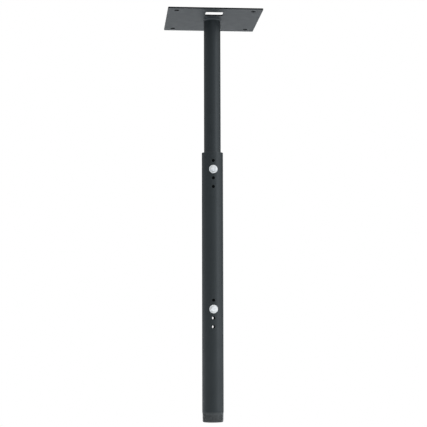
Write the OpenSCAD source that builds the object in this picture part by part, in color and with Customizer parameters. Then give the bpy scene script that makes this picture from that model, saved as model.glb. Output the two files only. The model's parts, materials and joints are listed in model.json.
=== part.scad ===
// Adjustable ceiling column: a square ceiling plate, an inner tube welded under it, and a threaded outer pipe
// that slides on the inner tube and is held by two clamp bolts.
// Origin: centre of the plate's top face, which lies against the ceiling. +Z is up, and the bolts are on the -Y side.
// All sizes are in millimetres.

/* [Ceiling plate] */
// Width of the square plate
plate_w = 212; // [190:1:260]
// Thickness of the plate
plate_t = 3.175; // [2:0.025:8]
// Radius of the plate's corners
plate_corner_r = 3; // [1:0.5:12]
// Distance between the centres of two neighbouring ceiling holes
hole_spacing = 172; // [150:1:176]
// Diameter of the ceiling holes
hole_d = 11.1; // [6:0.1:14]
// Width of the cable opening, along X
opening_w = 40; // [20:1:60]
// Depth of the cable opening, along Y
opening_l = 33; // [20:1:44]
// Distance from the plate's centre to the opening's centre, towards -Y
opening_offset = 58.3; // [52:0.1:66]
// Radius of the opening's corners
opening_corner_r = 4; // [1:0.5:8]
// Leg length of the weld bead around the tube
weld_leg = 3.5; // [3:0.5:8]

/* [Inner tube] */
// Outside diameter of the inner tube
inner_od = 38.1; // [37:0.1:39.5]
// Wall thickness of the inner tube
inner_wall = 3.05; // [1.5:0.05:4]
// How far the inner tube's end is below the lower clamp bolt
inner_past_bolt = 12.7; // [8:0.1:15]

/* [Outer pipe] */
// Outside diameter of the outer pipe
outer_od = 48.26; // [48:0.01:50]
// Bore of the outer pipe
outer_id = 40.9; // [40:0.1:42]
// Length of the outer pipe with its thread
outer_length = 606.4; // [560:0.1:640]
// Distance from the plate's underside to the bottom of the pipe
column_drop = 914.4; // [880:0.1:950]

/* [Pipe thread] */
// Distance from one thread ridge to the next
thread_pitch = 2.2087; // [1.8:0.0001:2.6]
// Diameter over the ridges at the pipe's end
thread_end_d = 47.39; // [46.5:0.01:48]
// Height of a ridge
thread_depth = 1.77; // [1:0.01:1.9]
// Length of the threaded end
thread_length = 23.1; // [18:0.1:28]

/* [Clamp holes and bolts] */
// Distance between neighbouring holes of a group
index_pitch = 19.7; // [16:0.1:24]
// Holes in each group
holes_per_group = 4; // [2:1:4]
// Distance from the pipe's rim to the first hole
first_hole = 20; // [14:0.1:30]
// Distance between the two groups, from first hole to first hole
group_spacing = 315.2; // [280:0.1:340]
// Diameter of the empty holes
index_hole_d = 7; // [5:0.1:7.8]
// Diameter of the clamp bolts
bolt_d = 7.94; // [6:0.01:8]
// Length of the clamp bolts under the head
bolt_length = 12.7; // [12:0.1:20]
// Distance across the flats of the bolt heads and nuts
hex_flats = 12.7; // [11:0.1:14]
// Height of the bolt heads
head_h = 5.3; // [3:0.1:8]
// Thickness of the jam nuts
nut_h = 4.76; // [3:0.01:5]
// Outside diameter of the washers
washer_od = 19.05; // [16:0.05:22]
// Thickness of the washers
washer_t = 1.6; // [1:0.1:1.8]

/* [Hidden] */

round_fn = 96;          // round parts are true circles, this only sets the preview's smoothness
edge = 0.6;             // chamfer on the tubes' ends
fit_gap = 0.05;         // radial gap between a bolt and its hole, and between its tip and the inner tube
bolt_hole_index = 1;    // the bolts sit in the second hole of each group
overlap = 1;            // how far a cutting tool runs past the part it cuts

under_plate = -plate_t;
pipe_end = under_plate - column_drop;
pipe_rim = pipe_end + outer_length;
upper_group = pipe_rim - first_hole;
lower_group = upper_group - group_spacing;
upper_bolt_z = upper_group - bolt_hole_index * index_pitch;
lower_bolt_z = lower_group - bolt_hole_index * index_pitch;
inner_end = lower_bolt_z - inner_past_bolt;

inner_r = inner_od / 2;
outer_r = outer_od / 2;
bolt_tip_y = -(inner_r + fit_gap);
head_face_y = bolt_tip_y - bolt_length;
washer_face_y = -(outer_r + washer_t);
upper_turn = 20;        // how far the upper hexagons are turned about their axis, in degrees
lower_turn = 0;

// A rectangle with round corners, centred on the origin
module rounded_rectangle(w, l, r) {
    square([w, l - 2 * r], center = true);
    square([w - 2 * r, l], center = true);
    for (x = [-1, 1], y = [-1, 1])
        translate([x * (w / 2 - r), y * (l / 2 - r)])
            circle(r = r, $fn = round_fn);
}

// A ring's half section from z0 up to z1 with its four edges chamfered by c, turned round Z
module chamfered_ring(r0, r1, z0, z1, c) {
    rotate_extrude($fn = round_fn)
        polygon([
            [r0 + c, z0], [r1 - c, z0], [r1, z0 + c], [r1, z1 - c],
            [r1 - c, z1], [r0 + c, z1], [r0, z1 - c], [r0, z0 + c]
        ]);
}

// Puts its children's +Z along -Y, with their base plane at y
module facing_front(y, z, turn = 0) {
    translate([0, y, z])
        rotate([90, 0, 0])
            rotate([0, 0, turn])
                children();
}

module ceiling_plate() {
    color("#2b2c2f")
        translate([0, 0, under_plate])
            linear_extrude(plate_t)
                difference() {
                    rounded_rectangle(plate_w, plate_w, plate_corner_r);
                    for (x = [-1, 1], y = [-1, 1])
                        translate([x, y] * hole_spacing / 2)
                            circle(d = hole_d, $fn = round_fn);
                    translate([0, -opening_offset])
                        rounded_rectangle(opening_w, opening_l, opening_corner_r);
                }
}

// A fillet weld between the plate's underside and the inner tube
module plate_weld() {
    color("#28292b")
        rotate_extrude($fn = round_fn)
            polygon([
                [inner_r, under_plate],
                [inner_r + weld_leg, under_plate],
                [inner_r + weld_leg * 0.42, under_plate - weld_leg * 0.42],
                [inner_r, under_plate - weld_leg]
            ]);
}

module inner_tube() {
    color("#26272a")
        chamfered_ring(inner_r - inner_wall, inner_r, inner_end, under_plate, edge / 2);
}

// The ridges' height dies away over the last third of the thread
function ridge_height(up) =
    let (full = thread_length * 0.7)
    thread_depth * (up < full ? 1 : (thread_length - up) / (thread_length - full));

// The taper is 1 in 16 on the diameter, and no ridge stands out of the pipe
function ridge_r(up) = min(outer_r, thread_end_d / 2 + up / 32);

function ridges() = [
    for (i = [0 : floor(thread_length / thread_pitch) - 1])
        let (up = i * thread_pitch, flank = ridge_height(up) * tan(30))
        each [
            [ridge_r(up) - ridge_height(up), pipe_end + up + thread_pitch / 2 - flank],
            [ridge_r(up), pipe_end + up + thread_pitch / 2],
            [ridge_r(up), pipe_end + up + thread_pitch / 2 + 0.1],
            [ridge_r(up) - ridge_height(up), pipe_end + up + thread_pitch / 2 + 0.1 + flank]
        ]
];

module pipe_with_thread() {
    bore_r = outer_id / 2;
    rotate_extrude($fn = round_fn)
        polygon(concat(
            [
                [bore_r, pipe_end + edge],
                [bore_r + edge, pipe_end],
                [thread_end_d / 2 - thread_depth, pipe_end]
            ],
            ridges(),
            [
                [outer_r, pipe_end + thread_length],
                [outer_r, pipe_rim - edge],
                [outer_r - edge, pipe_rim],
                [bore_r + edge, pipe_rim],
                [bore_r, pipe_rim - edge]
            ]
        ));
}

// Each group's holes go through both walls, and the front hole under a bolt is opened to the bolt's size
module outer_tube() {
    color("#2d2f31")
        difference() {
            pipe_with_thread();
            for (group = [upper_group, lower_group], i = [0 : holes_per_group - 1])
                facing_front(outer_r + overlap, group - i * index_pitch)
                    cylinder(d = index_hole_d, h = outer_od + 2 * overlap, $fn = round_fn);
            for (z = [upper_bolt_z, lower_bolt_z])
                facing_front(0, z)
                    cylinder(r = bolt_d / 2 + fit_gap, h = outer_r + overlap, $fn = round_fn);
        }
}

// A hexagonal prism whose corners are turned off at 30 degrees, at its top end or at both
module hexagon(h, both_ends) {
    corner_r = hex_flats / 2 / cos(30);
    bevel = (corner_r - hex_flats / 2 * 0.95) * tan(30);
    low = both_ends ? bevel : 0;
    intersection() {
        cylinder(r = corner_r, h = h, $fn = 6);
        rotate_extrude($fn = round_fn)
            polygon([
                [0, 0],
                [corner_r - low / tan(30), 0],
                [corner_r, low],
                [corner_r, h - bevel],
                [corner_r - bevel / tan(30), h],
                [0, h]
            ]);
    }
}

module clamp_bolt(z, turn) {
    tip_bevel = 0.8;
    color("#d9dadc") {
        facing_front(head_face_y, z, turn)
            hexagon(head_h, false);
        facing_front(bolt_tip_y, z)
            rotate_extrude($fn = round_fn)
                polygon([
                    [0, 0],
                    [bolt_d / 2 - tip_bevel, 0],
                    [bolt_d / 2, tip_bevel],
                    [bolt_d / 2, bolt_length],
                    [0, bolt_length]
                ]);
    }
}

module jam_nut(z, turn) {
    color("#d2d3d6")
        facing_front(washer_face_y, z, turn)
            difference() {
                hexagon(nut_h, true);
                translate([0, 0, -overlap])
                    cylinder(r = bolt_d / 2 + fit_gap, h = nut_h + 2 * overlap, $fn = round_fn);
            }
}

module washer(z) {
    color("#dcdddf")
        facing_front(-outer_r, z)
            chamfered_ring(bolt_d / 2 + 0.4, washer_od / 2, 0, washer_t, 0.2);
}

ceiling_plate();
plate_weld();
inner_tube();
outer_tube();
clamp_bolt(upper_bolt_z, upper_turn);  // upper_clamp_bolt
jam_nut(upper_bolt_z, upper_turn + 35);  // upper_jam_nut
washer(upper_bolt_z);  // upper_washer
clamp_bolt(lower_bolt_z, lower_turn);  // lower_clamp_bolt
jam_nut(lower_bolt_z, lower_turn + 20);  // lower_jam_nut
washer(lower_bolt_z);  // lower_washer
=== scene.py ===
"""The looks of an adjustable ceiling column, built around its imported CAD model.

Sizes are in metres and angles in degrees. +Z is up, and -Y is the front, where the clamp bolts are.
"""

import json
import math

import bmesh
import bpy
from mathutils import Matrix, Vector


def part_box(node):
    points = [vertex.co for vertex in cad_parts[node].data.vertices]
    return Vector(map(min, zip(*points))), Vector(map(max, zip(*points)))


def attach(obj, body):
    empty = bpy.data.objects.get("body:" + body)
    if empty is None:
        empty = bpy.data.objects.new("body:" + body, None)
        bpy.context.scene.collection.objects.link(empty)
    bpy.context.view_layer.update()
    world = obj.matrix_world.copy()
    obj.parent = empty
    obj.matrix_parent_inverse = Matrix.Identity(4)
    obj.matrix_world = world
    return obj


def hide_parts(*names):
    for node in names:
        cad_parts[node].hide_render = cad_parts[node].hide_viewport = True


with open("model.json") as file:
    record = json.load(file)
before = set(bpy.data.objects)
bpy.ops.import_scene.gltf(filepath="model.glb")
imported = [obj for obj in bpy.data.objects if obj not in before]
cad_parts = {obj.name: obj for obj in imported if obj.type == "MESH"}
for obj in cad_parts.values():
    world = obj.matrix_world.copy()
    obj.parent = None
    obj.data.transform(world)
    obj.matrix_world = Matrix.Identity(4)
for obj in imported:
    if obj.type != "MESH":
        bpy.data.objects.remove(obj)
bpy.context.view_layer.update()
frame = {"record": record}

MM = 0.001
COLUMNS = 144               # columns of the tubes' meshes, all the way round
ARC_STEPS = 5               # steps in a rounded edge
SHARP = 50                  # edges with a larger angle are shaded as sharp
HEX_SHARP = 35              # and so on the bolts and nuts

# Places and main sizes, read from the frame
PLATE_LOW, PLATE_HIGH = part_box("ceiling_plate")
WELD_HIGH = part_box("plate_weld")[1]
INNER_LOW, INNER_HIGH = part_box("inner_tube")
OUTER_LOW, OUTER_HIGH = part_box("outer_tube")
MOUNTS = {mount["name"]: mount for mount in frame["record"]["mounts"]}

# Ceiling plate
CEILING_HOLES = MOUNTS["ceiling_bolts"]["dims"]
PLATE_CORNER = 3.0 * MM
PLATE_EDGE = 0.35 * MM      # rounding of the plate's edges under the coat
OPENING_W = 40.0 * MM
OPENING_L = 33.0 * MM
OPENING_Y = -58.3 * MM
OPENING_CORNER = 4.0 * MM

# Weld bead
WELD_LEG = 0.97 * (WELD_HIGH.x - INNER_HIGH.x)      # the ripples stand out beyond it
WELD_RIPPLES = 58
WELD_SLOPES = 12            # steps across the bead

# Tubes
INNER_BORE = 16.0 * MM
OUTER_BORE = 20.45 * MM
TUBE_EDGE = 0.6 * MM
COVER_FADE = 12 * MM        # how far below the outer pipe's rim the painted shade on the inner tube is full
END_ROW = 24                # columns' widths from the thread to the pipe's first row of points

# Cross holes and clamp bolts
HOLE_PITCH = 19.7 * MM
HOLE_R = 3.5 * MM
TAPPED_R = 4.02 * MM
HOLE_EDGE = 0.35 * MM
HOLES_ABOVE_BOLT = 1
HOLES_BELOW_BOLT = 2
BOLT_R = 3.97 * MM
BOLT_PITCH = 25.4 * MM / 18
BOLT_THREAD_DEPTH = 0.86 * MM
BOLT_RUNOUT = 1.2 * MM      # where the thread dies away under the head
BOLT_LENGTH = 12.7 * MM
BOLT_COLUMNS = 72
COLLAR_H = 0.35 * MM        # the round face under a bolt's head
HEX_APOTHEM = 6.35 * MM
HEX_CORNER = 0.35 * MM      # rounding of a hexagon's corners
HEX_CHAMFER = 30            # angle at which a hexagon's corners are turned off
HEX_FLAT = 0.95             # size of the flat inside that chamfer, as a share of HEX_APOTHEM
GROOVE_DEPTH = 0.4 * MM     # of the thread in a tapped hole
NUT_H = 4.76 * MM
NUT_SINK = 0.5 * MM         # countersink of the nuts
WASHER_HOLE_R = 4.37 * MM
WASHER_EDGE = 0.25 * MM
HEAD_TURN = {"upper": 20, "lower": 0}       # how far the hexagons are turned about their axis
NUT_TURN = {"upper": 55, "lower": 20}

# Pipe thread
PIPE_PITCH = 25.4 * MM / 11.5
PIPE_THREAD_L = 23.1 * MM
PIPE_THREAD_END_R = 23.695 * MM
PIPE_THREAD_DEPTH = 1.77 * MM
PIPE_THREAD_FULL = 0.7 * PIPE_THREAD_L      # the ridges die away above it
PIPE_TAPER = 1 / 32

# Camera
CAMERA_PLACE = (-0.23326, -2.82961, -0.69978)
CAMERA_LENS = 105.86        # in millimetres, on a 36 mm sensor
CAMERA_PAN = 4.757          # turned right, from looking along +Y
CAMERA_TILT = 5.039         # turned up
CAMERA_ROLL = -0.138

# Floor
FLOOR_Z = -2.7
FLOOR_R = 14.0
FLOOR_SIDES = 96
FLOOR_FADE = (1.5, 9.0)     # distances from the middle between which the floor turns white
FLOOR_COLOUR = (0.86, 0.86, 0.85, 1.0)

# Room, as the object sees it. Strengths are radiances, where 1 shows as white. A zone is a pair of limits
# between which a strength changes: the direction's components along +Z, along +X or along ROOM_REAR.
LIGHT_TINT = (0.96, 1.0, 1.03)
ROOM_LOW = 1.75             # below the horizon
ROOM_HIGH = 0.54            # above it
ROOM_TOP = 0.75             # overhead
ROOM_RIGHT = 0.82           # what the right side has more
ROOM_REAR = (0.3, 0.95, 0.0)
ROOM_DARK = 0.85            # share that is missing towards the rear, above the horizon
ROOM_GLOW = 0.6             # what the middle of the rear has more
HORIZON_ZONE = (-0.06, 0.02)
TOP_ZONE = (0.35, 0.65)
RIGHT_ZONE = (-0.3, 0.75)
DARK_ZONE = (0.35, 0.7)
DARK_BOTTOM_ZONE = (-0.16, -0.08)
GLOW_ZONE = (0.86, 1.0)

# Softboxes: name, place, size and watts. They point at SOFTBOX_TARGET.
SOFTBOX_TARGET = (0, 0, -0.45)
SOFTBOXES = (
    ("key", (2.0, -1.5, -0.2), (1.4, 1.8), 8),
    ("rear", (0.6, 2.2, 2.2), (2.0, 1.5), 6),
)

# Copies of one black powder coat: lightness, tint and roughness. The plate's copy is painted lighter and the
# tubes' copies darker, as painted light and shade
PLATE_COAT = (0.039, (0.88, 1.0, 1.12), 0.5)
TUBE_COAT = (0.014, (0.75, 1.0, 1.12), 0.34)
PIPE_COAT = (0.015, (0.75, 1.0, 1.08), 0.34)
COAT_SPECULAR = 0.35
# specular level of the coat where shade is painted
COAT_PAINTED_SHADE_SPECULAR = 0.03
COAT_WEAR_AND_HIGHLIGHT = 0.135         # lightness where the coat is scuffed and painted lighter as a highlight
COAT_WEAR_AND_HIGHLIGHT_TINT = (0.96, 1.0, 1.01)
COAT_PAINTED_SHADE = 0.006           # lightness of the painted shade
COAT_SHEEN_TINT = (0.95, 1.0, 1.04, 1.0)

# How much shade is painted on the coat, from 0 to 1: darker and less glossy in recesses and on cut edges
CUT_PAINTED_SHADE = 0.9              # on the plate's cut edges
BORE_PAINTED_SHADE = 0.9             # in the outer pipe
BORE_END_PAINTED_SHADE = 0.2         # at its lower end
HOLE_PAINTED_SHADE = 0.4             # at the outer edge of a cross hole

# How far the coat is scuffed and painted lighter as a highlight, from 0 to 1
RIM_WEAR_AND_HIGHLIGHT = 0.5
HOLE_WEAR_AND_HIGHLIGHT = 0.4

# Zinc plating
ZINC_COOL = (0.69, 0.71, 0.735, 1.0)
ZINC_WARM = (0.745, 0.735, 0.71, 1.0)
ZINC_DULL = (0.57, 0.58, 0.60, 1.0)
ZINC_ROUGHNESS = (0.24, 0.36)


# ---------------------------------------------------------------- mesh building

class Surface:
    """The points and faces of one piece while it is being built.

    wear says how far the coat is scuffed at each point and painted lighter there as a highlight, and dull
    how much shade is painted on it in recesses and on cut edges, both from 0 to 1.
    """

    def __init__(self):
        self.points = []
        self.faces = []
        self.wear_and_highlight = []
        self.dull_and_shade = []

    def ring(self, points, wear_and_highlight=0.0, dull_and_shade=0.0):
        """Adds points and returns their numbers. wear is one number, or one for each point."""
        first = len(self.points)
        self.points.extend(points)
        self.wear_and_highlight.extend(wear_and_highlight if isinstance(wear_and_highlight, list) else [wear_and_highlight] * len(points))
        self.dull_and_shade.extend([dull_and_shade] * len(points))
        return list(range(first, len(self.points)))

    def band(self, low, high):
        """Joins two closed rings of the same length with quads."""
        for i in range(len(low)):
            j = (i + 1) % len(low)
            self.faces.append((low[i], low[j], high[j], high[i]))

    def bands(self, rings, closed=False):
        """Joins each ring to the next, and the last to the first if closed."""
        for low, high in zip(rings, rings[1:]):
            self.band(low, high)
        if closed:
            self.band(rings[-1], rings[0])

    def cap(self, ring):
        """Closes a flat ring with one face."""
        self.faces.append(tuple(ring))


def arc(centre_r, centre_z, radius, start, end, steps=ARC_STEPS):
    """Points (r, z) on an arc, from the start to the end angle in degrees."""
    angles = [math.radians(start + (end - start) * i / steps) for i in range(steps + 1)]
    return [(centre_r + radius * math.cos(a), centre_z + radius * math.sin(a)) for a in angles]


def circle(radius, z, columns=COLUMNS):
    """Points of a level circle round the Z axis."""
    angles = [math.tau * i / columns for i in range(columns)]
    return [(radius * math.cos(a), radius * math.sin(a), z) for a in angles]


def lathe(surface, profile, columns=COLUMNS, worn_and_highlighted=(), dull_and_shade=()):
    """Turns a closed profile of points (r, z) round Z. worn and dull hold the numbers of such points."""
    rings = [
        surface.ring(circle(r, z, columns), wear_and_highlight=float(i in worn_and_highlighted), dull_and_shade=float(i in dull_and_shade))
        for i, (r, z) in enumerate(profile)
    ]
    surface.bands(rings, closed=True)


def ring_profile(r0, r1, z0, z1, edge, steps=ARC_STEPS):
    """The half section of a ring with four rounded edges, and the numbers of its edge points."""
    corners = [
        (r1 - edge, z0 + edge, -90), (r1 - edge, z1 - edge, 0),
        (r0 + edge, z1 - edge, 90), (r0 + edge, z0 + edge, 180),
    ]
    profile = []
    for r, z, start in corners:
        profile += arc(r, z, edge, start, start + 90, steps)
    middle = steps // 2
    worn_and_highlighted = {corner * (steps + 1) + middle + i for corner in range(4) for i in (0, 1)}
    return profile, worn_and_highlighted


def facing_front(surface, y, z):
    """Moves a surface so that its +Z points along -Y, from the plane at y, with its axis at height z."""
    surface.points = [(px, y - pz, z + py) for px, py, pz in surface.points]


def add_piece(name, surface, material, body, nodes, sharp=SHARP):
    """Makes the object, which rides on a body, takes the given material and hides the CAD nodes that it
    stands for.
    """
    mesh = bpy.data.meshes.new(name)
    mesh.from_pydata(surface.points, [], surface.faces)
    for label, values in (("wear_and_highlight", surface.wear_and_highlight), ("dull_and_shade", surface.dull_and_shade)):
        mesh.attributes.new(label, "FLOAT", "POINT").data.foreach_set("value", values)
    model = bmesh.new()
    model.from_mesh(mesh)
    bmesh.ops.remove_doubles(model, verts=model.verts, dist=0.0005 * MM)
    bmesh.ops.dissolve_degenerate(model, edges=model.edges, dist=0.0005 * MM)
    bmesh.ops.recalc_face_normals(model, faces=model.faces)
    model.to_mesh(mesh)
    model.free()
    mesh.shade_smooth()
    mesh.set_sharp_from_angle(angle=math.radians(sharp))
    mesh.materials.append(material)
    piece = bpy.data.objects.new(name, mesh)
    bpy.context.scene.collection.objects.link(piece)
    weighted = piece.modifiers.new("flat faces stay flat", "WEIGHTED_NORMAL")
    weighted.keep_sharp = True
    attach(piece, body)
    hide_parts(*nodes)


# ---------------------------------------------------------------- threads

def thread_height(phase):
    """Height of a 60 degree thread at a phase from 0 to 1, from 0 at the root to 1 at the crest."""
    rise = 1 - abs(2 * (phase % 1) - 1)
    share = min(1.0, max(0.0, (rise - 0.1) / 0.8))
    return 0.5 * share + 0.5 * share * share * (3 - 2 * share)


def add_thread(surface, z0, z1, pitch, radius, columns, worn_and_highlighted=0.0):
    """Adds a right-hand helical surface from z0 up to z1.

    radius(z, height) gives its radius at a height of the ridge from 0 to 1, and worn says how far its crests
    are scuffed and painted lighter as a highlight. The rows follow the helix, and are cut level at z0 and
    z1.
    """
    steps = (0.0, 0.07, 0.2, 0.32, 0.43, 0.5, 0.57, 0.68, 0.8, 0.93)
    turns = math.ceil((z1 - z0) / pitch) + 2
    phases = [turn - 1 + step for turn in range(turns) for step in steps]
    grid = []
    for phase in phases:
        row = []
        wear_and_highlight = []
        for column in range(columns):
            share = column / columns
            z = min(z1, max(z0, z0 + pitch * (phase + share)))
            height = thread_height((z - z0) / pitch - share)
            r = radius(z, height)
            row.append((r * math.cos(math.tau * share), r * math.sin(math.tau * share), z))
            # crests are painted lighter than roots, as scuffing and as a painted highlight
            wear_and_highlight.append(worn_and_highlighted * (0.75 + 0.25 * height) * min(1.0, (z1 - z) / (2 * pitch)))
        grid.append(surface.ring(row, wear_and_highlight))
    shift = len(steps)
    for low, high in zip(grid, grid[1:]):
        for i in range(columns - 1):
            surface.faces.append((low[i], low[i + 1], high[i + 1], high[i]))
    for i in range(len(grid) - 1 - shift):
        surface.faces.append((grid[i][-1], grid[i + shift][0], grid[i + shift + 1][0], grid[i + 1][-1]))


# ---------------------------------------------------------------- ceiling plate and weld

def outline(width, length, corner, centre_y=0.0, steps=8):
    """Points of a rectangle with round corners and their outward directions, anticlockwise."""
    points = []
    for k, (sx, sy) in enumerate([(1, 1), (-1, 1), (-1, -1), (1, -1)]):
        for i in range(steps + 1):
            angle = math.radians(90 * k + 90 * i / steps)
            out = (math.cos(angle), math.sin(angle))
            x = sx * (width / 2 - corner) + corner * out[0]
            y = centre_y + sy * (length / 2 - corner) + corner * out[1]
            points.append(((x, y), out))
    return points


def round_hole(x, y, radius, columns=48):
    """Points of a circle and their outward directions, anticlockwise."""
    points = []
    for i in range(columns):
        angle = math.tau * i / columns
        out = (math.cos(angle), math.sin(angle))
        points.append(((x + radius * out[0], y + radius * out[1]), out))
    return points


def plate_wall(surface, points, inward, z0, z1):
    """The rounded side wall along an outline. inward is 1 on the outside of the plate and -1 in a hole."""
    rings = []
    lower = arc(-PLATE_EDGE, z0 + PLATE_EDGE, PLATE_EDGE, -90, 0)
    upper = arc(-PLATE_EDGE, z1 - PLATE_EDGE, PLATE_EDGE, 0, 90)
    corner = len(lower)
    middle = ARC_STEPS // 2
    for i, (offset, z) in enumerate(lower + upper):
        # The middle of each rounded edge is scuffed and painted lighter as a highlight, and shade is painted
        # on the cut wall between them.
        worn_and_highlighted = float(i % corner in (middle, middle + 1))
        dull_and_shade = CUT_PAINTED_SHADE if middle < i <= corner + middle else 0.0
        ring = [(x + inward * offset * ox, y + inward * offset * oy, z) for (x, y), (ox, oy) in points]
        rings.append(surface.ring(ring, worn_and_highlighted, dull_and_shade))
    surface.bands(rings)
    return rings[0], rings[-1]


def fill_flat(surface, rings):
    """Fills the flat face between closed rings with triangles."""
    model = bmesh.new()
    numbers = [n for ring in rings for n in ring]
    verts = {n: model.verts.new(surface.points[n]) for n in numbers}
    back = {vert: n for n, vert in verts.items()}
    edges = [
        model.edges.new((verts[ring[i - 1]], verts[ring[i]]))
        for ring in rings for i in range(len(ring))
    ]
    bmesh.ops.triangle_fill(model, use_beauty=True, use_dissolve=False, edges=edges)
    surface.faces.extend(tuple(back[vert] for vert in face.verts) for face in model.faces)
    model.free()


def build_plate(material):
    """The square plate with four ceiling holes and one cable opening."""
    surface = Surface()
    z0, z1 = PLATE_LOW.z, PLATE_HIGH.z
    width = PLATE_HIGH.x - PLATE_LOW.x
    opening = outline(OPENING_W, OPENING_L, OPENING_CORNER, OPENING_Y)
    walls = [plate_wall(surface, outline(width, width, PLATE_CORNER), 1, z0, z1)]
    walls.append(plate_wall(surface, opening, -1, z0, z1))
    half_x = CEILING_HOLES["spacing_x_mm"] * MM / 2
    half_y = CEILING_HOLES["spacing_y_mm"] * MM / 2
    for x in (-half_x, half_x):
        for y in (-half_y, half_y):
            hole = round_hole(x, y, CEILING_HOLES["hole_r_mm"] * MM)
            walls.append(plate_wall(surface, hole, -1, z0, z1))
    fill_flat(surface, [low for low, high in walls])
    fill_flat(surface, [high for low, high in walls])
    add_piece("square_plate", surface, material, "column_top", ["ceiling_plate"])


def ripple(angle, slope):
    """Size of the weld bead, at an angle round the tube and a slope from the plate, 0, to the tube, 1.

    Its ripples are crescents that die out at the bead's edges. They wander a little, and so does its size.
    """
    curve = 2.6 * (1 - (2 * slope - 1) ** 2)
    wander = 0.7 * math.sin(3 * angle + 1) + 0.5 * math.sin(7 * angle + 2) + 0.3 * math.sin(11 * angle)
    crescent = abs(math.sin((WELD_RIPPLES * angle + wander + curve) / 2)) ** 0.8
    swell = 0.018 * math.sin(5 * angle + 0.5) + 0.014 * math.sin(9 * angle + 4) + 0.01 * math.sin(23 * angle)
    return 0.94 + 0.06 * crescent * math.sin(math.pi * slope) + swell


def build_weld(material):
    """The rippled fillet bead between the plate and the inner tube."""
    surface = Surface()
    columns = WELD_RIPPLES * 9
    root_r, root_z = INNER_HIGH.x, PLATE_LOW.z
    slopes = [i / WELD_SLOPES for i in range(WELD_SLOPES + 1)]
    rings = [surface.ring(circle(root_r, root_z, columns))]
    for slope in slopes:
        turn = math.radians(90 * slope)
        flat = WELD_LEG / (math.cos(turn) + math.sin(turn))
        crowned = flat * (1 + 0.07 * math.sin(2 * turn))
        ring = []
        for i in range(columns):
            angle = math.tau * i / columns
            size = crowned * ripple(angle, slope)
            r = root_r + size * math.cos(turn)
            ring.append((r * math.cos(angle), r * math.sin(angle), root_z - size * math.sin(turn)))
        rings.append(surface.ring(ring))
    surface.bands(rings, closed=True)
    add_piece("weld_bead", surface, material, "column_top", ["plate_weld"])


# ---------------------------------------------------------------- tubes

def build_inner_tube(material):
    """The plain tube under the plate. Shade is painted on its coat in its bore, and where the outer pipe
    covers it.
    """
    surface = Surface()
    profile, worn_and_highlighted = ring_profile(INNER_BORE, INNER_HIGH.x, INNER_LOW.z, INNER_HIGH.z, TUBE_EDGE / 2)
    covered = [(INNER_HIGH.x, OUTER_HIGH.z - depth) for depth in (COVER_FADE, COVER_FADE / 2)]
    corner = ARC_STEPS + 1
    profile = profile[:corner] + covered + profile[corner:]
    bore = 2 * corner + len(covered) + ARC_STEPS // 2 + 1
    # shade is painted in the bore, and on the outer wall from the lower end up to COVER_FADE below the outer
    # pipe's rim
    dull_and_shade = set(range(corner + 1)) | set(range(bore, len(profile)))
    lathe(surface, profile, worn_and_highlighted={i if i < corner else i + len(covered) for i in worn_and_highlighted}, dull_and_shade=dull_and_shade)
    add_piece("inner_pole", surface, material, "column_top", ["inner_tube"])


class PipeWall:
    """The grid of a pipe's outer or inner wall, with square patches left out round the cross holes."""

    PATCH = 6                       # columns from a patch's centre to its side

    def __init__(self, surface, radius, levels, dull_and_shade, end_shade):
        self.surface = surface
        self.radius = radius
        self.levels = levels
        # how much shade is painted on this wall, and on its lowest row
        self.dull_and_shade = dull_and_shade
        self.end_shade = end_shade
        self.numbers = {}

    def point(self, row, column):
        """The number of a grid point, which is added when it is first asked for."""
        key = (row, column % COLUMNS)
        if key not in self.numbers:
            angle = math.tau * key[1] / COLUMNS
            place = (self.radius * math.cos(angle), self.radius * math.sin(angle), self.levels[row])
            self.numbers[key] = self.surface.ring([place], dull_and_shade=self.dull_and_shade if row else self.end_shade)[0]
        return self.numbers[key]

    def row(self, row):
        """The numbers of a whole row."""
        return [self.point(row, column) for column in range(COLUMNS)]

    def fill(self, patches):
        """Adds the quads between the rows, except in the patches (middle row, middle column)."""
        skipped = set()
        for middle_row, middle_column in patches:
            for i in range(-self.PATCH, self.PATCH):
                for j in range(-self.PATCH, self.PATCH):
                    skipped.add((middle_row + i, (middle_column + j) % COLUMNS))
        for row in range(len(self.levels) - 1):
            for column in range(COLUMNS):
                if (row, column) not in skipped:
                    self.surface.faces.append((
                        self.point(row, column), self.point(row, column + 1),
                        self.point(row + 1, column + 1), self.point(row + 1, column),
                    ))

    def border(self, middle_row, middle_column):
        """A patch's border, anticlockwise from its lower right, as steps (row, column) from its middle."""
        n = self.PATCH
        right = [(i, n) for i in range(-n, n)]
        top = [(n, -i) for i in range(-n, n)]
        left = [(-i, -n) for i in range(-n, n)]
        bottom = [(-n, i) for i in range(-n, n)]
        return right + top + left + bottom


def hole_levels(holes, low, high, step):
    """Heights of the wall's rows: both ends, one above the lower end, and those of the holes' patches."""
    levels = {round(low, 6), round(low + END_ROW * step, 6), round(high, 6)}
    for z in holes:
        for i in range(-PipeWall.PATCH, PipeWall.PATCH + 1):
            levels.add(round(z + i * step, 6))
    return sorted(levels)


def hole_ring(surface, middle_angle, z, hole_r, wall_r, wear_and_highlight=0.0, dull_and_shade=1.0, groove=None):
    """A ring of a cross hole, where it meets the cylinder of radius wall_r. groove(angle) widens it."""
    count = 8 * PipeWall.PATCH
    out = Vector((math.cos(middle_angle), math.sin(middle_angle), 0))
    side = Vector((-math.sin(middle_angle), math.cos(middle_angle), 0))
    ring = []
    for i in range(count):
        angle = math.tau * i / count - math.tau / 8
        radius = hole_r + (groove(angle) if groove else 0.0)
        across = radius * math.cos(angle)
        place = out * math.sqrt(wall_r ** 2 - across ** 2) + side * across
        ring.append((place.x, place.y, z + radius * math.sin(angle)))
    return surface.ring(ring, wear_and_highlight, dull_and_shade)


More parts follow.
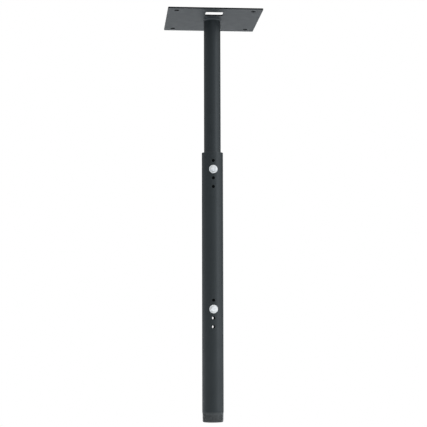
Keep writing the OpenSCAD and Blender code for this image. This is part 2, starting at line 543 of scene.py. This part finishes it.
def patch_rings(surface, wall, middle_row, middle_column, hole_r):
    """The rings from a hole's rounded edge out to the patch's border, all on the wall's cylinder."""
    middle_angle = math.tau * middle_column / COLUMNS
    z = wall.levels[middle_row]
    border = wall.border(middle_row, middle_column)
    rings = []
    for share in (0.0, 0.3, 0.65):
        ring = []
        for i, (row, column) in enumerate(border):
            angle = math.tau * i / len(border) - math.tau / 8
            across = math.asin(hole_r * math.cos(angle) / wall.radius)
            turn = middle_angle + across * (1 - share) + share * math.tau * column / COLUMNS
            rise = hole_r * math.sin(angle) * (1 - share) + share * (wall.levels[middle_row + row] - z)
            ring.append((wall.radius * math.cos(turn), wall.radius * math.sin(turn), z + rise))
        rings.append(surface.ring(ring, dull_and_shade=wall.dull_and_shade))
    rings.append([wall.point(middle_row + row, middle_column + column) for row, column in border])
    return rings


def add_cross_hole(surface, outer, inner, middle_row, middle_column, hole_r, tapped):
    """A rounded hole through the pipe's wall, with shallow thread grooves if it is tapped."""
    angle = math.tau * middle_column / COLUMNS
    z = outer.levels[middle_row]
    rim_r = hole_r + HOLE_EDGE
    rims = [patch_rings(surface, wall, middle_row, middle_column, rim_r) for wall in (outer, inner)]
    for rings in rims:
        surface.bands(rings)
    wall_rings = [rims[0][0]]
    quarter = [math.radians(90 * i / 4) for i in range(1, 5)]
    for turn in quarter:
        widened = hole_r + HOLE_EDGE * (1 - math.sin(turn))
        wall_r = outer.radius - HOLE_EDGE * (1 - math.cos(turn))
        # shade is painted deeper towards the inside of the hole, and its outer edge is scuffed and painted
        # lighter as a highlight
        dull_and_shade = HOLE_PAINTED_SHADE * math.sin(turn)
        wall_rings.append(hole_ring(surface, angle, z, widened, wall_r, HOLE_WEAR_AND_HIGHLIGHT, dull_and_shade))
    rows = 20 if tapped else 4
    thickness = outer.radius - inner.radius
    for i in range(1, rows):
        depth = HOLE_EDGE + (thickness - 2 * HOLE_EDGE) * i / rows
        fade = min(1.0, 4 * i / rows, 4 * (rows - i) / rows)

        def groove(turn, depth=depth, fade=fade):
            return GROOVE_DEPTH * fade * thread_height(depth / BOLT_PITCH + turn / math.tau)

        wall_r = outer.radius - depth
        # the painted shade grows with depth into the hole
        dull_and_shade = min(1.0, HOLE_PAINTED_SHADE + 1.5 * i / rows)
        cut = groove if tapped else None
        wall_rings.append(hole_ring(surface, angle, z, hole_r, wall_r, 0.0, dull_and_shade, cut))
    # the inner edge of the hole gets the full painted shade
    for turn in reversed(quarter):
        widened = hole_r + HOLE_EDGE * (1 - math.sin(turn))
        depth = HOLE_EDGE * (1 - math.cos(turn))
        wall_rings.append(hole_ring(surface, angle, z, widened, inner.radius + depth))
    wall_rings.append(rims[1][0])
    surface.bands(wall_rings)


def pipe_thread_radius(z, height):
    """Radius of the tapered pipe thread: its ridges die away at the top, and its end is chamfered."""
    up = z - OUTER_LOW.z
    run_out = PIPE_THREAD_L - PIPE_THREAD_FULL
    depth = PIPE_THREAD_DEPTH * min(1.0, max(0.0, (PIPE_THREAD_L - up) / run_out))
    crest = min(OUTER_HIGH.x, PIPE_THREAD_END_R + up * PIPE_TAPER)
    crest += (OUTER_HIGH.x - crest) * max(0.0, (up - PIPE_THREAD_FULL) / run_out)
    chamfered = PIPE_THREAD_END_R - PIPE_THREAD_DEPTH + 1.2 * up
    return min(crest - depth * (1 - height), chamfered)


def build_outer_pipe(material):
    """The sliding pipe: two groups of holes through both walls, and a tapered thread at its lower end."""
    surface = Surface()
    radius = OUTER_HIGH.x
    bolt_heights = {end: centre(f"{end}_clamp_bolt").z for end in ("upper", "lower")}
    holes = [
        (z - i * HOLE_PITCH, i == 0)
        for z in bolt_heights.values() for i in range(-HOLES_ABOVE_BOLT, HOLES_BELOW_BOLT + 1)
    ]
    heights = [z for z, under_bolt in holes]
    step = radius * math.tau / COLUMNS
    thread_top = OUTER_LOW.z + PIPE_THREAD_L
    rim = OUTER_HIGH.z - TUBE_EDGE
    outer_levels = hole_levels(heights, thread_top, rim, step)
    inner_levels = hole_levels(heights, OUTER_LOW.z + TUBE_EDGE, rim, step)
    outer = PipeWall(surface, radius, outer_levels, 0.0, 0.0)
    # shade is painted all along the bore, less at its lower end
    inner = PipeWall(surface, OUTER_BORE, inner_levels, BORE_PAINTED_SHADE, BORE_END_PAINTED_SHADE)
    front = COLUMNS * 3 // 4
    back = COLUMNS // 4
    for wall in (outer, inner):
        wall.fill([(wall.levels.index(round(z, 6)), column) for z in heights for column in (front, back)])
    for z, under_bolt in holes:
        row = outer.levels.index(round(z, 6))
        add_cross_hole(surface, outer, inner, row, front, TAPPED_R if under_bolt else HOLE_R, under_bolt)
        add_cross_hole(surface, outer, inner, row, back, HOLE_R, False)
    add_pipe_rim(surface, outer.row(len(outer.levels) - 1), inner.row(len(inner.levels) - 1))
    # the thread's crests are scuffed and painted lighter as a highlight
    add_thread(surface, OUTER_LOW.z, thread_top, PIPE_PITCH, pipe_thread_radius, COLUMNS, worn_and_highlighted=1.0)
    add_pipe_end(surface, inner.row(0))
    add_piece("outer_pipe", surface, material, "outer_column", ["outer_tube"])


def add_pipe_rim(surface, outer_row, inner_row):
    """The pipe's upper end, with both edges rounded."""
    z = OUTER_HIGH.z - TUBE_EDGE
    profile = arc(OUTER_HIGH.x - TUBE_EDGE, z, TUBE_EDGE, 0, 90)
    profile += arc(OUTER_BORE + TUBE_EDGE, z, TUBE_EDGE, 90, 180)
    # the rounded rim is scuffed and painted lighter as a highlight
    rings = [surface.ring(circle(r, height), wear_and_highlight=RIM_WEAR_AND_HIGHLIGHT) for r, height in profile[1:-1]]
    surface.bands([outer_row] + rings + [inner_row])


def add_pipe_end(surface, inner_row):
    """The pipe's lower end, from the thread's root to the rounded bore."""
    root = pipe_thread_radius(OUTER_LOW.z, 0)
    z = OUTER_LOW.z + TUBE_EDGE
    profile = arc(OUTER_BORE + TUBE_EDGE, z, TUBE_EDGE, 180, 270)
    # the rounded end of the bore is scuffed and painted lighter as a highlight
    rings = [surface.ring(circle(r, height), wear_and_highlight=RIM_WEAR_AND_HIGHLIGHT) for r, height in profile[1:]]
    rings.append(surface.ring(circle(root, OUTER_LOW.z)))
    surface.bands([inner_row] + rings)


# ---------------------------------------------------------------- clamp bolts

def centre(node):
    """The middle of a CAD node's box."""
    low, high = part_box(node)
    return (low + high) / 2


def hexagon(turn, arc_steps=4, flat_steps=8):
    """Points of a hexagon with slightly round corners, anticlockwise."""
    points = []
    arm = (HEX_APOTHEM - HEX_CORNER) / math.cos(math.radians(30))
    for k in range(6):
        middle = math.radians(60 * k + turn)
        base = Vector((arm * math.cos(middle), arm * math.sin(middle)))
        for i in range(arc_steps + 1):
            angle = middle + math.radians(60 * i / arc_steps - 30)
            points.append(base + HEX_CORNER * Vector((math.cos(angle), math.sin(angle))))
    full = []
    for i, point in enumerate(points):
        full.append(point)
        if i % (arc_steps + 1) == arc_steps:
            following = points[(i + 1) % len(points)]
            full += [point.lerp(following, j / flat_steps) for j in range(1, flat_steps)]
    return full


def scaled(points, radius):
    """The same directions, on a circle."""
    return [point.normalized() * radius for point in points]


def level(points, z):
    """Flat points at a height, or at a height that depends on the point."""
    return [(point.x, point.y, z(point) if callable(z) else z) for point in points]


def hex_end(surface, points, z, up):
    """The end of a hexagonal prism whose corners are turned off. up is 1 at the top and -1 at the bottom.

    Returns its rings, from the side wall to the flat circle.
    """
    flat_r = HEX_FLAT * HEX_APOTHEM
    soft = 0.1 * MM
    slope = math.tan(math.radians(HEX_CHAMFER))

    def cone(point):
        return z - up * (point.length - flat_r) * slope

    below = level(points, lambda point: cone(point) - up * soft)
    inside = level([point * (1 - soft / point.length) for point in points], cone)
    outer_ring = surface.ring(below)
    cone_ring = surface.ring(inside)
    shoulder = surface.ring(level(scaled(points, flat_r + soft), z - up * soft * slope))
    flat = surface.ring(level(scaled(points, flat_r - soft), z))
    return [outer_ring, cone_ring, shoulder, flat]


def bolt_thread_radius(z, height):
    """Radius of the clamp bolt's thread, with a chamfered tip and a run-out under the head."""
    depth = BOLT_THREAD_DEPTH * min(1.0, max(0.0, (BOLT_LENGTH - z) / BOLT_RUNOUT - 0.4))
    return min(BOLT_R - depth * (1 - height), BOLT_R - 0.9 * MM + 1.1 * z)


def build_bolt(end, material):
    """A hex head bolt, built with its tip at 0 and its head up."""
    surface = Surface()
    low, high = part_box(f"{end}_clamp_bolt")
    head_top = high.y - low.y
    add_thread(surface, 0.0, BOLT_LENGTH, BOLT_PITCH, bolt_thread_radius, BOLT_COLUMNS)
    tip_r = bolt_thread_radius(0.0, 0)
    tip = [surface.ring(circle(r, 0.0, BOLT_COLUMNS)) for r in (tip_r, tip_r * 0.6)]
    surface.bands(tip)
    surface.cap(tip[-1])
    collar_r = 0.94 * HEX_APOTHEM
    neck = surface.ring(circle(BOLT_R, BOLT_LENGTH, BOLT_COLUMNS))
    under = surface.ring(circle(collar_r, BOLT_LENGTH, BOLT_COLUMNS))
    collar = surface.ring(circle(collar_r, BOLT_LENGTH + COLLAR_H, BOLT_COLUMNS))
    surface.bands([neck, under, collar])
    turned = start_at(hexagon(HEAD_TURN[end]), collar, surface)
    lower = hex_end(surface, turned, BOLT_LENGTH + COLLAR_H, -1)
    upper = hex_end(surface, turned, head_top, 1)
    surface.bands([collar] + lower[::-1] + upper)
    centre_ring = surface.ring(level(scaled(turned, 0.5 * HEX_APOTHEM), head_top))
    surface.band(upper[-1], centre_ring)
    surface.cap(centre_ring)
    facing_front(surface, high.y, centre(f"{end}_clamp_bolt").z)
    nodes = [f"{end}_clamp_bolt"]
    add_piece(f"{end}_bolt", surface, material, f"{end}_clamp", nodes, HEX_SHARP)


def start_at(points, ring, surface):
    """The points of a closed outline, starting where a ring of the same length starts."""
    first = Vector(surface.points[ring[0]][:2])
    nearest = min(range(len(points)), key=lambda i: abs(points[i].angle_signed(first)))
    return points[nearest:] + points[:nearest]


def build_nut(end, material):
    """A jam nut, chamfered at both ends, with a countersunk bore."""
    surface = Surface()
    points = hexagon(NUT_TURN[end])
    bottom = hex_end(surface, points, 0.0, -1)
    top = hex_end(surface, points, NUT_H, 1)
    sunk_r = TAPPED_R + NUT_SINK
    bore_profile = ((sunk_r, NUT_H), (TAPPED_R, NUT_H - NUT_SINK), (TAPPED_R, NUT_SINK), (sunk_r, 0.0))
    bore = [surface.ring(level(scaled(points, r), z)) for r, z in bore_profile]
    surface.bands(bottom[::-1] + top + bore, closed=True)
    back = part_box(f"{end}_jam_nut")[1].y
    facing_front(surface, back, centre(f"{end}_jam_nut").z)
    nodes = [f"{end}_jam_nut"]
    add_piece(f"{end}_nut", surface, material, f"{end}_clamp", nodes, HEX_SHARP)


def build_washer(end, material):
    """A flat washer with rounded edges."""
    surface = Surface()
    low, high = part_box(f"{end}_washer")
    profile = ring_profile(WASHER_HOLE_R, high.x, 0.0, high.y - low.y, WASHER_EDGE, steps=4)[0]
    lathe(surface, profile, columns=96)
    facing_front(surface, high.y, centre(f"{end}_washer").z)
    nodes = [f"{end}_washer"]
    add_piece(f"{end}_flat_washer", surface, material, f"{end}_clamp", nodes)


# ---------------------------------------------------------------- materials

class Nodes:
    """Short calls for building a material's or the world's nodes."""

    def __init__(self, owner):
        owner.use_nodes = True
        self.tree = owner.node_tree
        self.tree.nodes.clear()

    def add(self, kind, inputs=None, **settings):
        """Adds a node, sets its settings, and sets or links its inputs."""
        node = self.tree.nodes.new(kind)
        for name, value in settings.items():
            setattr(node, name, value)
        for name, value in (inputs or {}).items():
            if isinstance(value, bpy.types.NodeSocket):
                self.tree.links.new(value, node.inputs[name])
            else:
                node.inputs[name].default_value = value
        return node

    def noise(self, place, scale, detail=2.0, roughness=0.5):
        """A noise texture's value, with scale in waves per metre."""
        inputs = {"Vector": place, "Scale": scale, "Detail": detail, "Roughness": roughness}
        return self.add("ShaderNodeTexNoise", inputs).outputs["Fac"]

    def spread(self, value, low, high, start=0.3, end=0.7):
        """A value from start to end, spread over low to high."""
        inputs = {"Value": value, "From Min": start, "From Max": end, "To Min": low, "To Max": high}
        return self.add("ShaderNodeMapRange", inputs).outputs["Result"]

    def blend(self, share, first, second):
        """A colour between two colours."""
        node = self.tree.nodes.new("ShaderNodeMix")
        node.data_type = "RGBA"
        for socket, value in ((node.inputs[0], share), (node.inputs[6], first), (node.inputs[7], second)):
            if isinstance(value, bpy.types.NodeSocket):
                self.tree.links.new(value, socket)
            else:
                socket.default_value = value
        return node.outputs[2]

    def maths(self, operation, first, second=0.0):
        """One arithmetic step."""
        node = self.tree.nodes.new("ShaderNodeMath")
        node.operation = operation
        for socket, value in ((node.inputs[0], first), (node.inputs[1], second)):
            if isinstance(value, bpy.types.NodeSocket):
                self.tree.links.new(value, socket)
            else:
                socket.default_value = value
        return node.outputs[0]


def shade(value, tint=(1.0, 1.0, 1.0)):
    """A grey with a tint, as a colour."""
    return (value * tint[0], value * tint[1], value * tint[2], 1.0)


def powder_coat(name, value, tint, roughness):
    """Black powder coat: orange peel, slightly uneven gloss, its scuffed parts painted lighter as wear and
    as a highlight, and the shade painted on it.
    """
    material = bpy.data.materials.new(name)
    nodes = Nodes(material)
    place = nodes.add("ShaderNodeTexCoord").outputs["Object"]
    cloud = nodes.noise(place, 18.0, 3.0)
    speck = nodes.noise(place, 2600.0, 2.0)
    peel = nodes.noise(place, 700.0, 2.0, 0.45)
    wave = nodes.noise(place, 160.0, 1.0)
    # scuffing with painted highlight, from the points' marks
    worn_and_highlighted = nodes.add("ShaderNodeAttribute", attribute_name="wear_and_highlight").outputs["Fac"]
    # painted shade, from the points' marks
    dull_and_shade = nodes.add("ShaderNodeAttribute", attribute_name="dull_and_shade").outputs["Fac"]
    patchy = nodes.spread(nodes.noise(place, 900.0, 3.0, 0.6), 0.6, 1.0)
    wear_and_highlight_mask = nodes.maths("MULTIPLY", worn_and_highlighted, patchy)
    base = nodes.blend(nodes.spread(cloud, 0.0, 1.0), shade(value * 0.95, tint), shade(value * 1.07, tint))
    flecked = nodes.blend(nodes.spread(speck, 0.0, 0.25, 0.55, 0.75), base, shade(value * 2.2, tint))
    # scuffed parts are painted lighter, as wear and as a highlight
    wear_and_highlight_colour = nodes.blend(wear_and_highlight_mask, flecked, shade(COAT_WEAR_AND_HIGHLIGHT, COAT_WEAR_AND_HIGHLIGHT_TINT))
    # painted shade: a darker colour here, and a lower specular level in the shader below
    colour = nodes.blend(dull_and_shade, wear_and_highlight_colour, shade(COAT_PAINTED_SHADE, tint))
    gloss = nodes.spread(nodes.noise(place, 45.0, 2.0), roughness - 0.02, roughness + 0.03)
    height = nodes.maths("ADD", nodes.maths("MULTIPLY", peel, 0.7), nodes.maths("MULTIPLY", wave, 0.8))
    bump = nodes.add("ShaderNodeBump", {"Height": height, "Strength": 0.6, "Distance": 0.0001})
    shader = nodes.add("ShaderNodeBsdfPrincipled", {
        "Base Color": colour,
        "Roughness": nodes.maths("SUBTRACT", gloss, nodes.maths("MULTIPLY", wear_and_highlight_mask, 0.2)),
        "Normal": bump.outputs["Normal"],
        "IOR": 1.5,
        "Specular IOR Level": nodes.spread(dull_and_shade, COAT_SPECULAR, COAT_PAINTED_SHADE_SPECULAR, 0.0, 1.0),
        "Specular Tint": COAT_SHEEN_TINT,
    })
    nodes.add("ShaderNodeOutputMaterial", {"Surface": shader.outputs["BSDF"]})
    return material


def zinc(name):
    """Bright zinc plating: a grey metal with a faint blue and yellow cast and fine, uneven gloss."""
    material = bpy.data.materials.new(name)
    nodes = Nodes(material)
    place = nodes.add("ShaderNodeTexCoord").outputs["Object"]
    cast = nodes.spread(nodes.noise(place, 190.0, 2.0), 0.0, 1.0)
    colour = nodes.blend(cast, ZINC_COOL, ZINC_WARM)
    # random dull patches of the plating, part of its own tone
    dull_and_shade = nodes.spread(nodes.noise(place, 420.0, 4.0, 0.6), 0.0, 0.5, 0.5, 0.75)
    colour = nodes.blend(dull_and_shade, colour, ZINC_DULL)
    gloss = nodes.spread(nodes.noise(place, 600.0, 3.0), *ZINC_ROUGHNESS)
    grain = nodes.noise(place, 3500.0, 2.0)
    bump = nodes.add("ShaderNodeBump", {"Height": grain, "Strength": 0.25, "Distance": 0.00002})
    shader = nodes.add("ShaderNodeBsdfPrincipled", {
        "Base Color": colour,
        "Metallic": 1.0,
        "Roughness": gloss,
        "Normal": bump.outputs["Normal"],
    })
    nodes.add("ShaderNodeOutputMaterial", {"Surface": shader.outputs["BSDF"]})
    return material


# ---------------------------------------------------------------- scene

def make_camera():
    """The camera, a little below the middle of the column and left of it."""
    pan, tilt, roll = (math.radians(a) for a in (CAMERA_PAN, CAMERA_TILT, CAMERA_ROLL))
    forward = Vector((math.sin(pan) * math.cos(tilt), math.cos(pan) * math.cos(tilt), math.sin(tilt)))
    level_right = Vector((math.cos(pan), -math.sin(pan), 0))
    level_up = level_right.cross(forward)
    right = math.cos(roll) * level_right + math.sin(roll) * level_up
    up = math.cos(roll) * level_up - math.sin(roll) * level_right
    data = bpy.data.cameras.new("camera")
    data.sensor_width = 36
    data.lens = CAMERA_LENS
    data.clip_end = 100
    camera = bpy.data.objects.new("camera", data)
    bpy.context.scene.collection.objects.link(camera)
    turn = Matrix((right, up, -forward)).transposed().to_4x4()
    camera.matrix_world = Matrix.Translation(CAMERA_PLACE) @ turn
    bpy.context.scene.camera = camera


def make_floor():
    """A plain pale floor, well below the column's end. Its outer part fades into the white backdrop."""
    mesh = bpy.data.meshes.new("floor")
    mesh.from_pydata(circle(FLOOR_R, FLOOR_Z, FLOOR_SIDES), [], [tuple(range(FLOOR_SIDES))])
    floor = bpy.data.objects.new("floor", mesh)
    bpy.context.scene.collection.objects.link(floor)
    material = bpy.data.materials.new("pale_floor")
    nodes = Nodes(material)
    place = nodes.add("ShaderNodeTexCoord").outputs["Object"]
    flat = nodes.add("ShaderNodeVectorMath", {0: place, 1: (1.0, 1.0, 0.0)}, operation="MULTIPLY")
    away = nodes.add("ShaderNodeVectorMath", {0: flat.outputs["Vector"]}, operation="LENGTH")
    far = nodes.spread(away.outputs["Value"], 0.0, 1.0, *FLOOR_FADE)
    seen = nodes.add("ShaderNodeLightPath").outputs["Is Camera Ray"]
    fade = nodes.maths("MULTIPLY", seen, far)
    pale = nodes.add("ShaderNodeBsdfDiffuse", {"Color": FLOOR_COLOUR}).outputs["BSDF"]
    white = nodes.add("ShaderNodeEmission", {"Color": shade(1.0)}).outputs["Emission"]
    mixed = nodes.add("ShaderNodeMixShader", {0: fade, 1: pale, 2: white})
    nodes.add("ShaderNodeOutputMaterial", {"Surface": mixed.outputs["Shader"]})
    mesh.materials.append(material)


def make_world():
    """A white backdrop for the camera. For light and reflections it is a dimmer room.

    The room is brighter below the horizon, overhead and towards the right. Behind the column it is dark
    above the horizon, with a glow in the middle.
    """
    world = bpy.data.worlds.new("studio")
    bpy.context.scene.world = world
    nodes = Nodes(world)
    way = nodes.add("ShaderNodeTexCoord").outputs["Generated"]
    axes = nodes.add("ShaderNodeSeparateXYZ", {"Vector": way}).outputs
    low = nodes.spread(axes["Z"], ROOM_LOW - ROOM_HIGH, 0.0, *HORIZON_ZONE)
    up = nodes.maths("ADD", low, nodes.spread(axes["Z"], ROOM_HIGH, ROOM_TOP, *TOP_ZONE))
    lit = nodes.maths("ADD", up, nodes.spread(axes["X"], 0.0, ROOM_RIGHT, *RIGHT_ZONE))
    rear_part = nodes.add("ShaderNodeVectorMath", {0: way, 1: ROOM_REAR}, operation="DOT_PRODUCT")
    rear = rear_part.outputs["Value"]
    behind = nodes.spread(rear, 0.0, ROOM_DARK, *DARK_ZONE)
    dark = nodes.maths("MULTIPLY", behind, nodes.spread(axes["Z"], 0.0, 1.0, *DARK_BOTTOM_ZONE))
    dimmed = nodes.maths("MULTIPLY", lit, nodes.maths("SUBTRACT", 1.0, dark))
    room = nodes.maths("ADD", dimmed, nodes.spread(rear, 0.0, ROOM_GLOW, *GLOW_ZONE))
    seen = nodes.add("ShaderNodeLightPath").outputs["Is Camera Ray"]
    strength = nodes.spread(seen, room, 1.0, 0.0, 1.0)
    tint = nodes.blend(seen, shade(1.0, LIGHT_TINT), shade(1.0))
    background = nodes.add("ShaderNodeBackground", {"Color": tint, "Strength": strength})
    nodes.add("ShaderNodeOutputWorld", {"Surface": background.outputs["Background"]})


def add_softbox(name, place, size, watts):
    """A rectangular soft light that the camera doesn't see."""
    data = bpy.data.lights.new(name, "AREA")
    data.shape = "RECTANGLE"
    data.size, data.size_y = size
    data.energy = watts
    data.color = LIGHT_TINT
    light = bpy.data.objects.new(name, data)
    bpy.context.scene.collection.objects.link(light)
    light.location = place
    light.rotation_euler = (Vector(SOFTBOX_TARGET) - Vector(place)).to_track_quat("-Z", "Y").to_euler()
    light.visible_camera = False


def main():
    """Makes the camera and the studio, then every piece."""
    make_camera()
    bpy.context.scene.view_settings.view_transform = "Standard"
    make_world()
    make_floor()
    for softbox in SOFTBOXES:
        add_softbox(*softbox)
    # The plate and weld get a lighter copy of the black coat, and the tubes darker ones: painted light and
    # shade.
    plate_coat = powder_coat("plate_powder_coat", *PLATE_COAT)
    build_plate(plate_coat)
    build_weld(plate_coat)
    build_inner_tube(powder_coat("tube_powder_coat", *TUBE_COAT))
    build_outer_pipe(powder_coat("pipe_powder_coat", *PIPE_COAT))
    plating = zinc("bright_zinc")
    for end in ("upper", "lower"):
        build_bolt(end, plating)
        build_nut(end, plating)
        build_washer(end, plating)


main()
